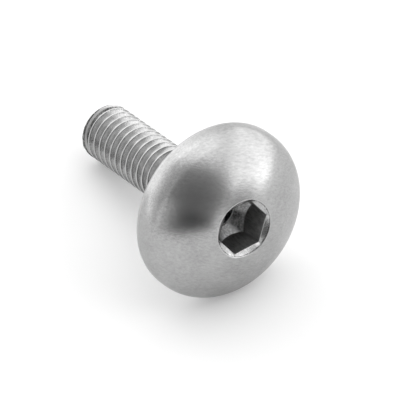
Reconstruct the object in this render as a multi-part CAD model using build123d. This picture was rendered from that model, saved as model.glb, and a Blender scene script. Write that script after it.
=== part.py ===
from build123d import *
import math
import os

# Shank, drawn plain at the thread's outside diameter
thread_diameter = 6.0
thread_clearance = 0.015
shank_length = 20.0
tip_chamfer_length = 0.25
tip_diameter = 5.2
neck_fillet = 0.25

# Button head: a crown arc that runs into a shoulder arc, a plain rim and a rounded lower edge
head_diameter = 18.5
head_height = 6.2
shoulder_radius = 2.5
shoulder_start = 1.2
edge_radius = 0.5

# Hexagon socket, forged, with a lead-in from a round mouth and a drilled pilot
key_across_flats = 5.0
key_clearance = 0.04
socket_depth = 3.05
socket_turn = 30.0
mouth_margin = 0.25
lead_in_depth = 0.36
floor_slope = 52.0
pilot_diameter = 3.4
pilot_depth = 1.0
drill_point_angle = 118.0

# Length by which a cutting tool passes the surface it cuts
overrun = 1.0


def revolved(lines):
    """Revolve a closed half-section of radius and height about the screw's axis."""
    return revolve(Plane.XZ * make_face(lines), Axis.Z)


def drop_over(reach, angle):
    """Return how far a line at an angle to the level falls over a reach."""
    return reach * math.tan(math.radians(angle))


# Radii and lengths that follow from the driving sizes
head_radius = head_diameter / 2
shank_radius = thread_diameter / 2 - thread_clearance
tip_radius = tip_diameter / 2
pilot_radius = pilot_diameter / 2
key_flat_radius = (key_across_flats + key_clearance) / 2
key_corner_radius = key_flat_radius / math.cos(math.radians(30))
mouth_radius = key_corner_radius + mouth_margin

# The crown's arc has its centre on the axis and touches the shoulder's arc without a crease
shoulder_x = head_radius - shoulder_radius
crown_drop = head_height - shoulder_start
crown_radius = (shoulder_x**2 + crown_drop**2 - shoulder_radius**2) / (2 * (crown_drop - shoulder_radius))
crown_z = head_height - crown_radius
join_angle = math.degrees(math.atan2(shoulder_start - crown_z, shoulder_x))

# Turned blank of head and shank, with the bearing face at height zero
crown = CenterArc((0, crown_z), crown_radius, join_angle, 90 - join_angle)
shoulder = CenterArc((shoulder_x, shoulder_start), shoulder_radius, 0, join_angle)
rim = Line((head_radius, shoulder_start), (head_radius, edge_radius))
lower_edge = CenterArc((head_radius - edge_radius, edge_radius), edge_radius, -90, 90)
bearing = Line((head_radius - edge_radius, 0), (shank_radius + neck_fillet, 0))
neck = CenterArc((shank_radius + neck_fillet, -neck_fillet), neck_fillet, 90, 90)
shank = Polyline(
    (shank_radius, -neck_fillet),
    (shank_radius, tip_chamfer_length - shank_length),
    (tip_radius, -shank_length),
    (0, -shank_length),
    (0, head_height),
)
blank = revolved([crown, shoulder, rim, lower_edge, bearing, neck, shank])

# Heights in the socket, from the circle where the lead-in opens on the crown
mouth_height = crown_z + math.sqrt(crown_radius**2 - mouth_radius**2)
corner_floor = mouth_height - socket_depth
pilot_mouth = corner_floor - drop_over(key_corner_radius - pilot_radius, floor_slope)
pilot_floor = pilot_mouth - pilot_depth
drill_tip = pilot_floor - drop_over(pilot_radius, 90 - drill_point_angle / 2)
tool_top = head_height + overrun
tool_radius = key_corner_radius + overrun

# Hexagon punch: six flats ended below by the sloping floor, the pilot and its drill point
punch_section = Polyline(
    (0, drill_tip),
    (pilot_radius, pilot_floor),
    (pilot_radius, pilot_mouth),
    (tool_radius, corner_floor + drop_over(overrun, floor_slope)),
    (tool_radius, tool_top),
    (0, tool_top),
    close=True,
)
hexagon = RegularPolygon(key_flat_radius, 6, major_radius=False, rotation=socket_turn)
prism = extrude(Plane.XY.offset(drill_tip) * hexagon, tool_top - drill_tip)
punch = prism & revolved(punch_section)

# Lead-in whose sides rise from the hexagon's straight edges to the round mouth in the crown
mouth = Plane.XY.offset(mouth_height) * Circle(mouth_radius)
lead_in = loft([Plane.XY.offset(mouth_height - lead_in_depth) * hexagon, mouth])
clearing = extrude(mouth, overrun)
screw = blank - punch - (lead_in + clearing)

# The screw lies on the edge of its tip chamfer and on the rounded lower edge of its head
run = shank_length - tip_chamfer_length + edge_radius
climb = head_radius - edge_radius - shank_radius
tilt = math.atan2(climb, run) + math.asin(edge_radius / math.hypot(climb, run))
lean = math.sin(tilt)
level = math.cos(tilt)
bearing_height = shank_radius * level + (shank_length - tip_chamfer_length) * lean

# Head towards minus Y, tip towards plus Y, one flat of the socket facing down
rest = Plane(origin=(0, 0, bearing_height), x_dir=(0, -lean, -level), z_dir=(0, -level, lean))
lying = rest * screw
lying = Pos(0, -lying.bounding_box().center().Y, 0) * lying

os.makedirs("parts", exist_ok=True)
export_step(lying, "parts/button_head_screw.step")
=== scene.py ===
"""Looks of a button head screw that lies on a pale table.

The screw is one piece of plated steel: a domed head with a hexagon socket, and a shank with a
rolled thread. Its mesh is made here in millimetres about the screw's own axis and then laid
down where the CAD solid lies.
"""
import logging
import math
from dataclasses import dataclass, field
from enum import Enum

import bpy
import numpy as np
from mathutils import Matrix, Vector


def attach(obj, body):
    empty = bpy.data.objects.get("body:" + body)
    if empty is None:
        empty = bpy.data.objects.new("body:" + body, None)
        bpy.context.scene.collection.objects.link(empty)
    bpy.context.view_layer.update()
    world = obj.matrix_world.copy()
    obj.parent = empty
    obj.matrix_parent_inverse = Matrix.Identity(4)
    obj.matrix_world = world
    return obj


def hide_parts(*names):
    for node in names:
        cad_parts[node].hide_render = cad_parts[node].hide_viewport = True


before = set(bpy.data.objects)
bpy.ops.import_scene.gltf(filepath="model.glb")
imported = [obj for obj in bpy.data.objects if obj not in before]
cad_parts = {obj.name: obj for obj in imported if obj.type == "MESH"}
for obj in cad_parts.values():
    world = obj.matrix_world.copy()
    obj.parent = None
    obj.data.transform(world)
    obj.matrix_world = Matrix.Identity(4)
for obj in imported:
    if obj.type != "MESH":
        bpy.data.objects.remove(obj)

MM = 0.001
log = logging.getLogger("screw")

# A size in millimetres: one number for a whole ring, or one for each of its columns
Measure = float | np.ndarray
Point = tuple[Measure, Measure]

# Inputs of a Mix node by number: the two numbers, or the two colours, that it blends
LOW, HIGH = 2, 3
UNDER, OVER = 6, 7
# Output of a Mix node that carries the blended colour
BLENDED = 2


class Zone(Enum):
    """Areas of the screw that its making leaves with a look of their own."""

    CROWN = "tumbled_plated_crown"
    ENTRY = "struck_lead_in"
    WALL = "punched_socket_wall"
    FLOOR = "torn_socket_floor"
    THREAD = "rolled_thread"
    TIP = "sheared_tip"


@dataclass(frozen=True)
class ScrewSizes:
    """Driving sizes of the screw in millimetres and degrees.

    Those of the shank, the head and the socket are the solid's own. Those of the thread are
    stated here alone, because the solid's shank is plain.
    """

    # Shank
    shank_radius: float = 2.985
    shank_length: float = 20.0
    tip_chamfer: float = 0.25
    tip_radius: float = 2.6
    neck_fillet: float = 0.25

    # Head
    head_radius: float = 9.25
    head_height: float = 6.2
    shoulder_radius: float = 2.5
    shoulder_start: float = 1.2
    edge_radius: float = 0.5

    # Socket
    key_flat_radius: float = 2.52
    socket_depth: float = 3.05
    socket_turn: float = 30.0
    mouth_margin: float = 0.25
    lead_in_depth: float = 0.36
    floor_slope: float = 52.0
    pilot_radius: float = 1.7
    pilot_depth: float = 1.0
    drill_point: float = 118.0

    # Thread, with its first crest's height over the tip, the plain neck, how far it runs out at
    # the neck and at the tip, and how much of the tip the cut-off first turn takes
    pitch: float = 1.0
    thread_depth: float = 0.6134
    first_crest: float = 0.74
    neck_length: float = 1.1
    run_out: float = 1.0
    end_run_out: float = 0.2
    first_turn: float = 0.95

    @property
    def key_corner_radius(self) -> float:
        """Radius to the hexagon's sharp corners."""
        return self.key_flat_radius / math.cos(math.radians(30))

    @property
    def mouth_radius(self) -> float:
        """Radius of the circle where the lead-in opens on the crown."""
        return self.key_corner_radius + self.mouth_margin

    @property
    def shoulder_x(self) -> float:
        """Distance of the shoulder arc's centre from the axis."""
        return self.head_radius - self.shoulder_radius

    @property
    def crown_radius(self) -> float:
        """Radius of the crown arc that touches the shoulder arc without a crease."""
        drop = self.head_height - self.shoulder_start
        reach = self.shoulder_x**2 + drop**2 - self.shoulder_radius**2
        return reach / (2 * (drop - self.shoulder_radius))

    @property
    def crown_z(self) -> float:
        """Height of the crown arc's centre."""
        return self.head_height - self.crown_radius

    @property
    def mouth(self) -> float:
        """Height of the socket's mouth on the crown."""
        return self.crown_at(self.mouth_radius)

    @property
    def lip(self) -> float:
        """Height of the hexagon's upper edge, where the lead-in ends."""
        return self.mouth - self.lead_in_depth

    @property
    def pilot_mouth(self) -> float:
        """Height of the floor's inner edge, where the pilot opens."""
        return self.floor_at(self.pilot_radius)

    @property
    def pilot_floor(self) -> float:
        """Height of the pilot's lower end, where its drill point starts."""
        return self.pilot_mouth - self.pilot_depth

    @property
    def drill_tip(self) -> float:
        """Height of the drill point's deepest spot."""
        return self.pilot_floor - self.pilot_radius / math.tan(math.radians(self.drill_point / 2))

    @property
    def root_radius(self) -> float:
        """Radius at the bottom of the thread."""
        return self.shank_radius - self.thread_depth

    def crown_at(self, radius: Measure) -> Measure:
        """Return the height of the crown at a distance from the axis."""
        return self.crown_z + np.sqrt(self.crown_radius**2 - radius**2)

    def floor_at(self, radius: Measure) -> Measure:
        """Return the height of the socket's sloping floor at a distance from the axis."""
        drop = (self.key_corner_radius - radius) * math.tan(math.radians(self.floor_slope))
        return self.mouth - self.socket_depth - drop


@dataclass(frozen=True)
class Pose:
    """Where the lying screw is: its tilt, and the middle of its bearing face.

    Args:
        sizes: The screw's sizes.
        snug: Scale that makes the screw a few thousandths of a millimetre smaller, so that it
            stays inside the box of the solid's facets.
    """

    sizes: ScrewSizes
    snug: float = 0.9997

    @property
    def tilt(self) -> float:
        """Angle in radians from the table to the axis, on the tip's edge and the head's edge."""
        s = self.sizes
        run = s.shank_length - s.tip_chamfer + s.edge_radius
        climb = s.head_radius - s.edge_radius - s.shank_radius
        return math.atan2(climb, run) + math.asin(s.edge_radius / math.hypot(climb, run))

    def matrix(self) -> Matrix:
        """Work out where the screw's own axes lie.

        Returns:
            The matrix from the screw's own axes, in metres, to the table's.
        """
        s = self.sizes
        lean, level = math.sin(self.tilt), math.cos(self.tilt)
        height = s.shank_radius * level + (s.shank_length - s.tip_chamfer) * lean
        head_reach = s.crown_radius + s.crown_z * level
        tip_reach = s.shank_length * level + s.tip_radius * lean
        back = (head_reach - tip_reach) / 2
        columns = ((0, -lean, -level), (1, 0, 0), (0, -level, lean), (0, back * MM, height * MM))
        rows = [[column[i] for column in columns] for i in range(3)]
        return Matrix.Scale(self.snug, 4) @ Matrix(rows + [[0, 0, 0, 1]])


@dataclass(frozen=True)
class FlankStep:
    """One step down a flank of the thread, from its crest to its root.

    Args:
        along: Distance from the crest in pitches.
        deep: Depth below the crest as a share of the thread's depth.
        tip_sheen: Painted highlight on the side of the tip.
        head_sheen_and_shade: Painted highlight on the side of the head, and a seam of painted shade
            beside the crest.
    """

    along: float
    deep: float
    tip_sheen: float = 0.0
    head_sheen_and_shade: float = 0.0


# The profile of a rolled thread: a narrow flat crest, straight flanks and a rounded root, with a
# painted highlight on the crest
FLANK = (
    FlankStep(0.0, 0.0, 1.0, 1.0),
    FlankStep(0.030, 0.0, 1.0, 1.0),
    FlankStep(0.055, 0.03, 0.6, 0.4),
    FlankStep(0.075, 0.10, 0.0, -0.5),
    FlankStep(0.10, 0.21, 0.0, -0.2),
    FlankStep(0.15, 0.41),
    FlankStep(0.20, 0.58),
    FlankStep(0.26, 0.74),
    FlankStep(0.33, 0.88),
    FlankStep(0.41, 0.97),
)


@dataclass
class ScrewMesh:
    """Rings of points from the pilot's drill point, out over the head and down to the tip.

    Sheen and shade is 1 where a painted highlight brightens an edge or a patch, 0 on plain metal
    and -1 where painted shade darkens a groove or a recess.

    Args:
        sizes: The screw's sizes.
        per_side: Columns of points for each side of the hexagon.
        corner_round: Radius in millimetres of the rounded corners of the hexagon.
        pilot_round: Millimetres that the rounding of the pilot's edge takes from each side.
        lip_round: The same for the hexagon's upper edge.
        mouth_round: The same for the mouth's edge, on its inner and on its outer side.
        turn: Angle of each column of points, in radians.
        radius: Distance of the points from the axis, ring by ring.
        height: Height of the points over the bearing face, ring by ring.
        zone: Zone of the faces between each ring and the one before it.
        sheen_and_shade: Painted highlight where above 0 and painted shade where below 0, for the
            points ring by ring.
    """

    sizes: ScrewSizes
    per_side: int = 32
    corner_round: float = 0.15
    pilot_round: float = 0.07
    lip_round: float = 0.05
    mouth_round: tuple[float, float] = (0.06, 0.08)
    turn: np.ndarray = field(init=False)
    radius: list[np.ndarray] = field(default_factory=list)
    height: list[np.ndarray] = field(default_factory=list)
    zone: list[Zone] = field(default_factory=list)
    sheen_and_shade: list[np.ndarray] = field(default_factory=list)

    # How even the columns are: 1 spaces them alike, less draws them to the hexagon's corners
    EVENNESS = 0.4
    # Steps of a rounding, and points along each arc of the head and the neck
    ROUNDING_STEPS = (0.0, 0.25, 0.5, 0.75, 1.0)
    CROWN_POINTS = 44
    SHOULDER_POINTS = 18
    EDGE_POINTS = 8
    NECK_POINTS = 6
    RIM_HEIGHTS = (0.95, 0.7)
    # Length of plain shank left between the neck's last ring and the start of the thread
    NECK_GAP = 0.1
    # How far past either end of the shank a ring of the thread still counts, in pitches
    THREAD_REACH = 1.2

    # Painted shade in the pilot, painted highlights on the mouth's edge and the head's lower edge,
    # and painted shade along the lead-in's outer part
    PILOT_SHADE = -0.35
    MOUTH_SHEEN = 0.25
    EDGE_SHEEN = 0.3
    LEAD_IN_SHADE = ((0.03, 0.0), (0.4, 0.0), (0.75, 0.0), (0.86, -0.8), (1.0, -0.8))
    # Painted sheen on the floor, strongest in four directions: how much on average, and how much
    # more there
    SHEEN_DIRECTIONS = 4
    SHEEN_LEVEL = 0.35
    SHEEN_SWING = 1.1
    # Painted shade and painted highlight on the cut-off first turn, up to each distance from its
    # crest in pitches
    FIRST_TURN_SHADING = ((0.08, -0.9), (0.18, 1.0), (0.4, -0.6), (1.0, 0.0))

    def __post_init__(self) -> None:
        """Set the angles of the columns, which stand closer together at the hexagon's corners."""
        step = np.linspace(-1, 1, self.per_side, endpoint=False)
        offset = 30 * (self.EVENNESS * step + (1 - self.EVENNESS) * step**3)
        corners = self.sizes.socket_turn + 60 * np.arange(6)
        self.turn = np.radians((corners[:, None] + offset).ravel())

    def ring(self, radius: Measure, height: Measure, zone: Zone, sheen_and_shade: Measure = 0.0) -> None:
        """Add one ring of points.

        Args:
            radius: Distance from the axis.
            height: Height over the bearing face.
            zone: Zone of the faces between this ring and the one before it.
            sheen_and_shade: Painted highlight where above 0 and painted shade where below 0, for
                the points.
        """
        self.radius.append(radius * np.ones_like(self.turn))
        self.height.append(height * np.ones_like(self.turn))
        self.zone.append(zone)
        self.sheen_and_shade.append(sheen_and_shade * np.ones_like(self.turn))

    def rounded(self, start: Point, corner: Point, end: Point, zone: Zone, sheen_and_shade: float) -> None:
        """Add rings over a rounded edge.

        Args:
            start: Radius and height where the rounding starts.
            corner: Radius and height of the sharp edge.
            end: Radius and height where the rounding ends.
            zone: Zone of the rounding.
            sheen_and_shade: Painted highlight in its middle, which fades to both of its sides.
        """
        for t in self.ROUNDING_STEPS:
            a, b, c = (1 - t) ** 2, 2 * t * (1 - t), t * t
            radius = a * start[0] + b * corner[0] + c * end[0]
            height = a * start[1] + b * corner[1] + c * end[1]
            self.ring(radius, height, zone, sheen_and_shade * 4 * t * (1 - t))

    def hexagon(self) -> np.ndarray:
        """Work out the hexagon, with its corners a little rounded.

        Returns:
            The hexagon's radius in each column.
        """
        s = self.sizes
        sixth, rounding = math.pi / 6, self.corner_round
        away = np.abs((self.turn - math.radians(s.socket_turn) + sixth) % (2 * sixth) - sixth)
        flat = s.key_flat_radius / np.cos(sixth - away)
        centre = (s.key_flat_radius - rounding) / math.cos(sixth)
        inside = np.clip(rounding**2 - (centre * np.sin(away)) ** 2, 0, None)
        touch = math.atan2(rounding / 2, centre + rounding * math.cos(sixth))
        return np.where(away < touch, centre * np.cos(away) + np.sqrt(inside), flat)

    def add_pilot(self) -> None:
        """Add the drill point and the pilot's wall in painted shade, and its rounded edge with a
        painted highlight.
        """
        s = self.sizes
        for share in (0.0, 0.3, 0.65, 0.97, 1.0):
            height = s.drill_tip + share * (s.pilot_floor - s.drill_tip)
            self.ring(share * s.pilot_radius, height, Zone.FLOOR, self.PILOT_SHADE)
        for share in (0.04, 0.3, 0.6, 0.85):
            height = s.pilot_floor + share * s.pilot_depth
            self.ring(s.pilot_radius, height, Zone.FLOOR, self.PILOT_SHADE)
        start = (s.pilot_radius, s.pilot_mouth - self.pilot_round)
        outside = s.pilot_radius + self.pilot_round
        end = (outside, s.floor_at(outside))
        self.rounded(start, (s.pilot_radius, s.pilot_mouth), end, Zone.FLOOR, 1.0)

    def add_floor(self) -> None:
        """Add the sloping floor, with a painted sheen that is stronger in some directions than
        others.
        """
        swing = self.SHEEN_SWING * np.cos(self.SHEEN_DIRECTIONS * self.turn)
        floor_sheen = np.clip(self.SHEEN_LEVEL + swing, 0, 1)
        inner, wall = self.radius[-1], self.hexagon()
        for share in (0.05, 0.15, 0.3, 0.5, 0.7, 0.85, 0.97, 1.0):
            radius = inner + share * (wall - inner)
            self.ring(radius, self.sizes.floor_at(radius), Zone.FLOOR, floor_sheen)

    def add_walls(self) -> None:
        """Add the six walls, their rounded upper edge with a painted highlight, and the lead-in
        with painted shade along its outer part.
        """
        s = self.sizes
        wall, soft = self.hexagon(), self.lip_round
        low = s.floor_at(wall)
        outer = s.mouth_radius - self.mouth_round[0]
        rise = s.lip + s.lead_in_depth * (outer - wall) / (s.mouth_radius - wall)
        reach = np.hypot(outer - wall, rise - s.lip)
        end = (wall + soft * (outer - wall) / reach, s.lip + soft * (rise - s.lip) / reach)
        for share in (0.03, 0.25, 0.5, 0.75):
            self.ring(wall, low + share * (s.lip - soft - low), Zone.WALL)
        self.rounded((wall, s.lip - soft), (wall, s.lip), end, Zone.WALL, 1.0)
        for share, sheen_and_shade in self.LEAD_IN_SHADE:
            radius = end[0] + share * (outer - end[0])
            self.ring(radius, end[1] + share * (rise - end[1]), Zone.ENTRY, sheen_and_shade)

    def add_head(self) -> None:
        """Add the mouth's edge, the crown, the shoulder, the rim, the bearing face and the neck."""
        s = self.sizes
        outer = s.mouth_radius + self.mouth_round[1]
        start = (self.radius[-1], self.height[-1])
        edge = (s.mouth_radius, s.mouth)
        # The mouth's rounded edge gets a painted highlight
        self.rounded(start, edge, (outer, s.crown_at(outer)), Zone.CROWN, self.MOUTH_SHEEN)
        join = math.atan2(s.shoulder_start - s.crown_z, s.shoulder_x)
        last = s.crown_radius * math.cos(join)
        for share in np.linspace(0, 1, self.CROWN_POINTS)[1:]:
            radius = outer + share * (last - outer)
            self.ring(radius, s.crown_at(radius), Zone.CROWN)
        for turn in np.linspace(join, 0, self.SHOULDER_POINTS)[1:]:
            radius = s.shoulder_x + s.shoulder_radius * math.cos(turn)
            self.ring(radius, s.shoulder_start + s.shoulder_radius * math.sin(turn), Zone.CROWN)
        for height in self.RIM_HEIGHTS:
            self.ring(s.head_radius, height, Zone.CROWN)
        # The head's lower edge gets a painted highlight
        for turn in np.radians(np.linspace(0, 90, self.EDGE_POINTS)):
            radius = s.head_radius - s.edge_radius * (1 - math.cos(turn))
            height = s.edge_radius * (1 - math.sin(turn))
            self.ring(radius, height, Zone.CROWN, self.EDGE_SHEEN)
        inner = s.shank_radius + s.neck_fillet
        outer = s.head_radius - s.edge_radius
        for share in (0.02, 0.25, 0.5, 0.75, 0.98, 1.0):
            self.ring(outer + share * (inner - outer), 0.0, Zone.CROWN)
        for turn in np.radians(np.linspace(0, 90, self.NECK_POINTS))[1:]:
            radius = inner - s.neck_fillet * math.sin(turn)
            self.ring(radius, -s.neck_fillet * (1 - math.cos(turn)), Zone.THREAD)
        for share in (0.3, 0.7, 1.0):
            depth = s.neck_fillet + share * (s.neck_length - self.NECK_GAP - s.neck_fillet)
            self.ring(s.shank_radius, -depth, Zone.THREAD)

    def add_thread(self) -> int:
        """Add the right-hand thread, which runs out into the neck and into the tip's chamfer.

        Returns:
            The number of rings for each turn of the thread.
        """
        s = self.sizes
        profile = [(0.5, 1.0, 0.0)]
        profile += [(step.along, step.deep, step.head_sheen_and_shade) for step in reversed(FLANK)]
        profile += [(-step.along, step.deep, step.tip_sheen) for step in FLANK[1:]]
        top, bottom = -s.neck_length, -s.shank_length
        beyond = self.THREAD_REACH * s.pitch
        climb = s.pitch * self.turn / (2 * math.pi)
        cone_slope = (s.shank_radius - s.tip_radius) / s.tip_chamfer
        for crest in range(int(s.shank_length / s.pitch) + 2, -3, -1):
            for along, deep, sheen_and_shade in profile:
                height = bottom + s.first_crest + s.pitch * (crest + along) + climb
                if height.min() > top + beyond or height.max() < bottom - beyond:
                    continue
                height = np.clip(height, bottom, top)
                fade = s.root_radius + s.thread_depth * (height - top + s.run_out) / s.run_out
                shallow = np.clip((height - bottom - s.tip_chamfer) / s.end_run_out, 0, 1)
                radius = np.maximum(s.shank_radius - deep * s.thread_depth * shallow, fade)
                radius = np.minimum(radius, s.tip_radius + (height - bottom) * cone_slope)
                # The cut-off first turn has painted shade on the tip's side, a painted highlight
                # line, and painted shade past it
                cut_off = next(level for limit, level in self.FIRST_TURN_SHADING if along < limit)
                shown = np.where(height < bottom + s.first_turn, cut_off, sheen_and_shade)
                self.ring(radius, height, Zone.THREAD, shown)
        return len(profile)

    def add_tip(self) -> None:
        """Add the flat end of the shank, down to its centre."""
        for share in (0.97, 0.7, 0.35, 0.0):
            self.ring(share * self.sizes.tip_radius, -self.sizes.shank_length, Zone.TIP)

    def build(self, name: str, axes: Matrix) -> bpy.types.Object:
        """Build the screw as one closed mesh and lay it down on the table.

        Args:
            name: Name of the object.
            axes: Matrix from the screw's own axes to the table's.

        Returns:
            The screw, linked to the scene.
        """
        self.add_pilot()
        self.add_floor()
        self.add_walls()
        self.add_head()
        first = len(self.radius)
        per_turn = self.add_thread()
        last = len(self.radius)
        self.add_tip()
        radius, height = np.array(self.radius), np.array(self.height)
        points = np.stack([radius * np.cos(self.turn), radius * np.sin(self.turn), height], axis=-1)
        # Points that meet are one point, as on the axis and where the thread runs out
        places = np.round(points.reshape(-1, 3), 5) + 0.0
        places, index = np.unique(places, axis=0, return_inverse=True)
        index = index.reshape(radius.shape)
        # Once around, a ring of the thread meets the ring one turn nearer the head
        beside = np.roll(index, -1, axis=1)
        beside[first + per_turn:last, -1] = index[first:last - per_turn, 0]
        corners = np.stack([index[:-1], index[1:], beside[1:], beside[:-1]], axis=-1)
        zones = list(Zone)
        faces: list[tuple[int, ...]] = []
        slots: list[int] = []
        for row, ring_corners in enumerate(corners.tolist()):
            slot = zones.index(self.zone[row + 1])
            for four in ring_corners:
                face = tuple(dict.fromkeys(four))
                if len(face) > 2:
                    faces.append(face)
                    slots.append(slot)
        mesh = bpy.data.meshes.new(name)
        mesh.from_pydata(places * MM, [], faces)
        # Painted highlight and painted shade of each point, for the materials
        painted_light = np.zeros(len(places), np.float32)
        painted_light[index.ravel()] = np.array(self.sheen_and_shade, np.float32).ravel()
        mesh.attributes.new("sheen_and_shade", "FLOAT", "POINT").data.foreach_set("value", painted_light)
        for zone in zones:
            mesh.materials.append(STEEL[zone].material(zone.value, axes))
        mesh.polygons.foreach_set("material_index", slots)
        mesh.polygons.foreach_set("use_smooth", [True] * len(slots))
        mesh.transform(axes)
        mesh.update()
        screw = bpy.data.objects.new(name, mesh)
        bpy.context.scene.collection.objects.link(screw)
        return screw


def linear(code: str) -> tuple[float, float, float, float]:
    """Turn a hex sRGB colour to linear.

    Args:
        code: The colour as a hash sign and six hex digits.

    Returns:
        Linear red, green, blue and alpha.
    """
    shares = [int(code[i:i + 2], 16) / 255 for i in (1, 3, 5)]
    red, green, blue = (c / 12.92 if c <= 0.04045 else ((c + 0.055) / 1.055) ** 2.4 for c in shares)
    return red, green, blue, 1.0


def add_node(
    tree: bpy.types.NodeTree,
    kind: str,
    settings: dict[str | int, object],
    links: dict[str | int, bpy.types.NodeSocket],
) -> bpy.types.Node:
    """Add a node to a tree with its settings and links.

    Args:
        tree: The node tree.
        kind: Blender's name for the kind of node.
        settings: Values of the node's own settings by name, or of its inputs by number or name.
        links: The socket that feeds each linked input, by the input's number or name.

    Returns:
        The new node.
    """
    node = tree.nodes.new(kind)
    for name, value in settings.items():
        if isinstance(name, str) and hasattr(node, name):
            setattr(node, name, value)
        else:
            node.inputs[name].default_value = value
    for name, socket in links.items():
        tree.links.new(socket, node.inputs[name])
    return node


@dataclass(frozen=True)
class SteelFinish:
    """How one area of the plated steel looks.

    Args:
        pale: Colour of the metal where it is clean and bright.
        dull: Colour of the metal in its duller patches.
        rough: Roughness in the smooth and in the dull patches.
        grain: Size of the fine grain in millimetres.
        relief: Depth of the grain in millimetres.
        patch: Size of the dull patches in millimetres.
        sway: Depth in millimetres of the slow waves, as wide as the patches.
        stretch: Scale of the grain along the screw's axes; under one draws it out into lines.
        painted_light: Colour of the painted highlights, and their roughness.
        spots: How far spots of plain metal break up the painted highlights.
    """

    pale: str
    dull: str
    rough: tuple[float, float]
    grain: float
    relief: float
    patch: float
    sway: float = 0.0
    stretch: tuple[float, float, float] = (1.0, 1.0, 1.0)
    painted_light: tuple[str, float] = ("#D6D6D6", 0.5)
    spots: float = 0.0

    # Degrees by which the grain's lines are turned about the screw's axis
    LAY = -28.0
    # Share of the grain, next to the patches, in what makes the metal dull
    GRAIN_SHARE = 0.6
    # Levels of the noise between which dull metal, spots in the painted highlights and painted
    # shade set in
    DULL_BAND = {"From Min": 0.35, "From Max": 0.65}
    SPOT_BAND = {"From Min": 0.42, "From Max": 0.56}
    SHADE_BAND = {"From Min": 0.40, "From Max": 0.56, "To Min": 0.25}
    # Colour of the painted shade, and how fully a value of -1 covers the metal with it
    PAINTED_SHADE_COLOUR = "#454545"
    SHADE_COVER = 1.4

    def textures(
        self, tree: bpy.types.NodeTree, axes: Matrix
    ) -> tuple[bpy.types.NodeSocket, bpy.types.NodeSocket]:
        """Add the noise of the fine grain and of the patches, in real millimetres.

        Args:
            tree: The material's node tree.
            axes: Matrix of the screw's own axes, along which the grain is drawn out.

        Returns:
            The sockets of the grain and of the patches.
        """
        table = add_node(tree, "ShaderNodeTexCoord", {}, {}).outputs["Object"]
        turned = (axes @ Matrix.Rotation(math.radians(self.LAY), 4, "Z")).to_euler()
        own = {"vector_type": "TEXTURE", "Location": axes.translation, "Rotation": turned}
        place = add_node(tree, "ShaderNodeMapping", own, {"Vector": table}).outputs[0]
        drawn = add_node(tree, "ShaderNodeMapping", {"Scale": self.stretch}, {"Vector": place})
        fine = {"Scale": 1 / (self.grain * MM), "Detail": 3.0, "Roughness": 0.6}
        grain = add_node(tree, "ShaderNodeTexNoise", fine, {"Vector": drawn.outputs[0]})
        broad = {"Scale": 1 / (self.patch * MM), "Detail": 4.0, "Roughness": 0.55}
        patch = add_node(tree, "ShaderNodeTexNoise", broad, {"Vector": place})
        return grain.outputs[0], patch.outputs[0]

    def painted_light_and_shade(
        self, tree: bpy.types.NodeTree, grain: bpy.types.NodeSocket
    ) -> tuple[bpy.types.NodeSocket, bpy.types.NodeSocket]:
        """Read the mesh's painted highlight and painted shade and break them up by the grain.

        Args:
            tree: The material's node tree.
            grain: The grain.

        Returns:
            How far each spot has a painted highlight, and how far painted shade covers it.
        """
        times = {"operation": "MULTIPLY"}
        sheen_and_shade = add_node(tree, "ShaderNodeAttribute", {"attribute_name": "sheen_and_shade"}, {}).outputs["Fac"]
        highlighted = add_node(tree, "ShaderNodeMath", {"operation": "MAXIMUM", 1: 0.0}, {0: sheen_and_shade})
        spotty = self.SPOT_BAND | {"To Min": 1 - self.spots}
        spots = add_node(tree, "ShaderNodeMapRange", spotty, {"Value": grain})
        factors = {0: highlighted.outputs[0], 1: spots.outputs[0]}
        painted_light = add_node(tree, "ShaderNodeMath", times, factors)
        shade_amount = add_node(tree, "ShaderNodeMath", times | {1: -self.SHADE_COVER}, {0: sheen_and_shade})
        flecks = add_node(tree, "ShaderNodeMapRange", self.SHADE_BAND, {"Value": grain})
        factors = {0: shade_amount.outputs[0], 1: flecks.outputs[0]}
        painted_shade = add_node(tree, "ShaderNodeMath", times | {"use_clamp": True}, factors)
        return painted_light.outputs[0], painted_shade.outputs[0]

    def material(self, name: str, axes: Matrix) -> bpy.types.Material:
        """Make the finish into a material.

        Args:
            name: Name of the material.
            axes: Matrix of the screw's own axes, along which the grain is drawn out.

        Returns:
            The material.
        """
        material = bpy.data.materials.new(name)
        material.use_nodes = True
        tree = material.node_tree
        tree.nodes.clear()
        grain, patch = self.textures(tree, axes)
        painted_light, painted_shade = self.painted_light_and_shade(tree, grain)

        mottle = add_node(tree, "ShaderNodeMix", {0: self.GRAIN_SHARE}, {LOW: patch, HIGH: grain})
        mottled = {"Value": mottle.outputs[0]}
        dull = add_node(tree, "ShaderNodeMapRange", self.DULL_BAND, mottled).outputs[0]
        tints = {"data_type": "RGBA", UNDER: linear(self.pale), OVER: linear(self.dull)}
        plain = add_node(tree, "ShaderNodeMix", tints, {0: dull}).outputs[BLENDED]
        # Painted highlights make the colour paler, and painted shade makes it darker
        bright = {"data_type": "RGBA", OVER: linear(self.painted_light[0])}
        with_highlight = add_node(tree, "ShaderNodeMix", bright, {0: painted_light, UNDER: plain}).outputs[BLENDED]
        dark = {"data_type": "RGBA", OVER: linear(self.PAINTED_SHADE_COLOUR)}
        colour = add_node(tree, "ShaderNodeMix", dark, {0: painted_shade, UNDER: with_highlight}).outputs[BLENDED]

        left = add_node(tree, "ShaderNodeMath", {"operation": "SUBTRACT", 0: 1.0}, {1: painted_light})
        factors = {0: dull, 1: left.outputs[0]}
        matt = add_node(tree, "ShaderNodeMath", {"operation": "MULTIPLY"}, factors).outputs[0]
        ends = {LOW: self.rough[0], HIGH: self.rough[1]}
        smooth = add_node(tree, "ShaderNodeMix", ends, {0: matt}).outputs[0]
        rough = add_node(tree, "ShaderNodeMix", {HIGH: self.painted_light[1]}, {0: painted_light, LOW: smooth})

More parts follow.
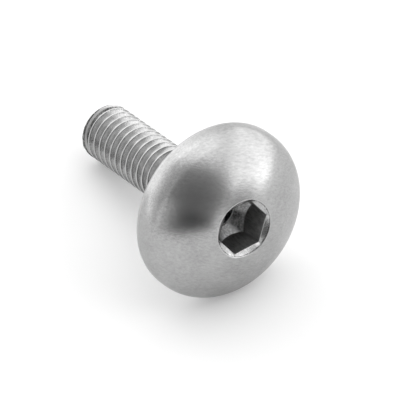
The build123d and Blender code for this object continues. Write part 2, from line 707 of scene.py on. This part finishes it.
        deep = {"Strength": 1.0, "Distance": self.sway * MM}
        waves = add_node(tree, "ShaderNodeBump", deep, {"Height": patch}).outputs[0]
        deep = {"Strength": 1.0, "Distance": self.relief * MM}
        bumps = add_node(tree, "ShaderNodeBump", deep, {"Height": grain, "Normal": waves})

        steel = add_node(
            tree, "ShaderNodeBsdfPrincipled", {"Metallic": 1.0},
            {"Base Color": colour, "Roughness": rough.outputs[0], "Normal": bumps.outputs[0]},
        )
        add_node(tree, "ShaderNodeOutputMaterial", {}, {"Surface": steel.outputs[0]})
        return material


# The real grain is a few hundredths of a millimetre wide and would not show, because a pixel
# covers about 0.1 mm, so every grain is drawn 0.15 to 0.22 mm wide
STEEL = {
    # Tumbling before plating leaves a fine satin grain that blurs what the crown reflects
    Zone.CROWN: SteelFinish(
        pale="#BEBEBE", dull="#A6A6A6", rough=(0.20, 0.26), grain=0.18, relief=0.005,
        patch=2.2, sway=0.020, stretch=(1.0, 0.3, 1.0),
    ),
    # The lead-in is struck with the socket, so it is as smooth as the punch, with fine flecks
    Zone.ENTRY: SteelFinish(
        pale="#DADADA", dull="#A2A2A2", rough=(0.18, 0.30), grain=0.15, relief=0.008,
        patch=0.8, sway=0.010,
    ),
    # The punch drags down the walls and leaves them dull and lined
    Zone.WALL: SteelFinish(
        pale="#C2C2C2", dull="#929292", rough=(0.30, 0.45), grain=0.15, relief=0.008,
        patch=0.8, sway=0.015, stretch=(1.0, 1.0, 0.2),
    ),
    # Metal torn up by the punch, with painted glints in flecks between dull hollows
    Zone.FLOOR: SteelFinish(
        pale="#9A9A9A", dull="#4A4A4A", rough=(0.28, 0.60), grain=0.22, relief=0.070,
        patch=0.9, sway=0.040, painted_light=("#FFFFFF", 0.4), spots=0.45,
    ),
    # Rolling leaves the flanks satin, and the crests carry a painted highlight
    Zone.THREAD: SteelFinish(
        pale="#BEBEBE", dull="#A4A4A4", rough=(0.17, 0.28), grain=0.15, relief=0.006,
        patch=1.0, sway=0.015, stretch=(1.0, 1.0, 0.4),
    ),
    # The sheared end keeps a coarse torn face
    Zone.TIP: SteelFinish(
        pale="#A8A8A8", dull="#787878", rough=(0.30, 0.45), grain=0.18, relief=0.016,
        patch=0.8, sway=0.020,
    ),
}


@dataclass(frozen=True)
class Panel:
    """A panel of the studio's tent that blends softly into the panels beside it.

    Args:
        name: What the panel is.
        azimuth: Degrees from the side that the head faces, towards plus X.
        elevation: Degrees above the table.
        spread: How softly it blends, in degrees.
        level: Brightness.
    """

    name: str
    azimuth: float
    elevation: float
    spread: float
    level: float

    @property
    def sharpness(self) -> float:
        """How fast the panel's share falls away from its middle."""
        return 1 / (1 - math.cos(math.radians(self.spread)))

    @property
    def pull(self) -> tuple[float, ...]:
        """Direction from the screw to the panel, as long as the panel is sharp."""
        turn, up = math.radians(self.azimuth), math.radians(self.elevation)
        aim = (math.sin(turn) * math.cos(up), -math.cos(turn) * math.cos(up), math.sin(up))
        return tuple(self.sharpness * share for share in aim)


# The panels of the tent; in the photographer's shade they are dark
TENT = (
    Panel("camera's shade", -11, 42, 11, 0.02),
    Panel("low shade", -35, 0, 11, 0.02),
    Panel("key panel", 46, -15, 16, 2.90),
    Panel("right panel", 60, 28, 14, 1.89),
    Panel("top panel", 44, 68, 12, 2.71),
    Panel("upper right panel", 69, 66, 20, 0.58),
    Panel("upper left front panel", -38, 64, 11, 0.56),
    Panel("left panel", -120, 18, 21, 0.39),
    Panel("back left panel", -127, 12, 20, 2.32),
    Panel("back panel", 167, 41, 12, 3.14),
    Panel("upper front panel", -8, 46, 13, 0.41),
    Panel("low right panel", 33, -5, 11, 0.02),
    Panel("low left panel", -54, 1, 13, 0.90),
    Panel("back right panel", 165, 40, 12, 0.26),
    Panel("low far right panel", 85, 27, 14, 1.67),
    Panel("high right panel", 87, 70, 17, 2.32),
)


@dataclass(frozen=True)
class Studio:
    """White table in a tent of pale cloth panels, and the camera.

    Args:
        table_half: Half of the table's width in metres.
        table_lit: Colour of the table in the light and the reflections that it gives.
        table_seen: Colour of the table to the camera.
        shadow_lift: Share of plain white in what the camera sees of the table, which keeps the
            shadow pale.
        view: Direction from the screw to the camera, as in the photograph.
        distance: Metres from the middle of the bearing face to the camera.
        focal_length: Focal length of the lens in millimetres.
        aim_left: Millimetres that the camera aims to the left of the bearing face's middle.
        aim_above: Millimetres that it aims above it.
    """

    table_half: float = 3.0
    table_lit: str = "#ECECEC"
    table_seen: str = "#FFFFFF"
    shadow_lift: float = 0.12
    view: tuple[float, float, float] = (-0.3823, -0.5431, 0.7477)
    distance: float = 0.6
    focal_length: float = 539.15
    aim_left: float = 1.253
    aim_above: float = 0.616

    # Metres beyond which the camera sees nothing
    SIGHT = 20.0
    # Weight that keeps a direction far from every panel from a division by zero
    LEAST_WEIGHT = 1e-9

    def add_tent(self) -> None:
        """Add the tent, which lights the table and the screw; its panels blend by their shares."""
        world = bpy.data.worlds.new("cloth_tent")
        bpy.context.scene.world = world
        world.use_nodes = True
        tree = world.node_tree
        tree.nodes.clear()
        place = add_node(tree, "ShaderNodeTexCoord", {}, {}).outputs["Generated"]
        light = weight = None
        for panel in TENT:
            along = {"operation": "DOT_PRODUCT", 1: panel.pull}
            toward = add_node(tree, "ShaderNodeVectorMath", along, {0: place}).outputs["Value"]
            less = {"operation": "SUBTRACT", 1: panel.sharpness}
            power = add_node(tree, "ShaderNodeMath", less, {0: toward}).outputs[0]
            grow = {"operation": "EXPONENT"}
            share = add_node(tree, "ShaderNodeMath", grow, {0: power}).outputs[0]
            part = {"operation": "MULTIPLY_ADD", 1: panel.level, 2: 0.0}
            links = {0: share} if light is None else {0: share, 2: light}
            light = add_node(tree, "ShaderNodeMath", part, links).outputs[0]
            whole = {"operation": "ADD", 1: self.LEAST_WEIGHT}
            links = {0: share} if weight is None else {0: share, 1: weight}
            weight = add_node(tree, "ShaderNodeMath", whole, links).outputs[0]
        level = add_node(tree, "ShaderNodeMath", {"operation": "DIVIDE"}, {0: light, 1: weight})
        # Past the table's edge the camera sees plain white, while the metal reflects the tent
        path = add_node(tree, "ShaderNodeLightPath", {}, {}).outputs["Is Camera Ray"]
        seen = add_node(tree, "ShaderNodeMix", {HIGH: 1.0}, {0: path, LOW: level.outputs[0]})
        white, strength = {"Color": linear("#FFFFFF")}, {"Strength": seen.outputs[0]}
        tent = add_node(tree, "ShaderNodeBackground", white, strength)
        add_node(tree, "ShaderNodeOutputWorld", {}, {"Surface": tent.outputs[0]})

    def add_table(self) -> bpy.types.Object:
        """Add the white table top under the screw.

        Returns:
            The table top.
        """
        half = self.table_half
        corners = [(-half, -half, 0), (half, -half, 0), (half, half, 0), (-half, half, 0)]
        mesh = bpy.data.meshes.new("table")
        mesh.from_pydata(corners, [], [(0, 1, 2, 3)])
        # A board painted matt white shows soft shadows and no gloss
        material = bpy.data.materials.new("matt_white_board")
        material.use_nodes = True
        tree = material.node_tree
        tree.nodes.clear()
        path = add_node(tree, "ShaderNodeLightPath", {}, {}).outputs["Is Camera Ray"]
        tints = {"data_type": "RGBA", UNDER: linear(self.table_lit), OVER: linear(self.table_seen)}
        colour = add_node(tree, "ShaderNodeMix", tints, {0: path}).outputs[BLENDED]
        board = add_node(tree, "ShaderNodeBsdfDiffuse", {}, {"Color": colour})
        white = add_node(tree, "ShaderNodeEmission", {"Strength": 1.0}, {})
        lifted = {"operation": "MULTIPLY", 1: self.shadow_lift}
        part = add_node(tree, "ShaderNodeMath", lifted, {0: path}).outputs[0]
        shaders = {0: part, 1: board.outputs[0], 2: white.outputs[0]}
        shown = add_node(tree, "ShaderNodeMixShader", {}, shaders)
        add_node(tree, "ShaderNodeOutputMaterial", {}, {"Surface": shown.outputs[0]})
        mesh.materials.append(material)
        table = bpy.data.objects.new("table", mesh)
        bpy.context.scene.collection.objects.link(table)
        return table

    def add_camera(self, pose: Pose) -> None:
        """Add the camera at the photograph's viewing angle.

        Args:
            pose: Where the screw lies.
        """
        middle = pose.matrix().translation
        back = Vector(self.view).normalized()
        right = Vector((0, 0, 1)).cross(back).normalized()
        up = back.cross(right)
        lens = bpy.data.cameras.new("camera")
        lens.lens = self.focal_length
        lens.clip_end = self.SIGHT
        camera = bpy.data.objects.new("camera", lens)
        camera.location = middle + self.distance * back
        aim = middle - self.aim_left * MM * right + self.aim_above * MM * up
        camera.rotation_euler = (aim - camera.location).to_track_quat("-Z", "Y").to_euler()
        bpy.context.scene.collection.objects.link(camera)
        bpy.context.scene.camera = camera


def main() -> None:
    """Build the screw and the studio, and log how many faces the screw has."""
    logging.basicConfig(level=logging.INFO, format="%(message)s")
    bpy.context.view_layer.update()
    bpy.context.scene.view_settings.view_transform = "Standard"
    sizes = ScrewSizes()
    pose = Pose(sizes)
    screw = ScrewMesh(sizes).build("screw", pose.matrix())
    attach(screw, "root")
    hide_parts("button_head_screw")
    log.info("screw: %d faces", len(screw.data.polygons))
    studio = Studio()
    studio.add_tent()
    studio.add_table()
    studio.add_camera(pose)
    log.info("studio: table, tent and camera")


if __name__ == "__main__":
    main()
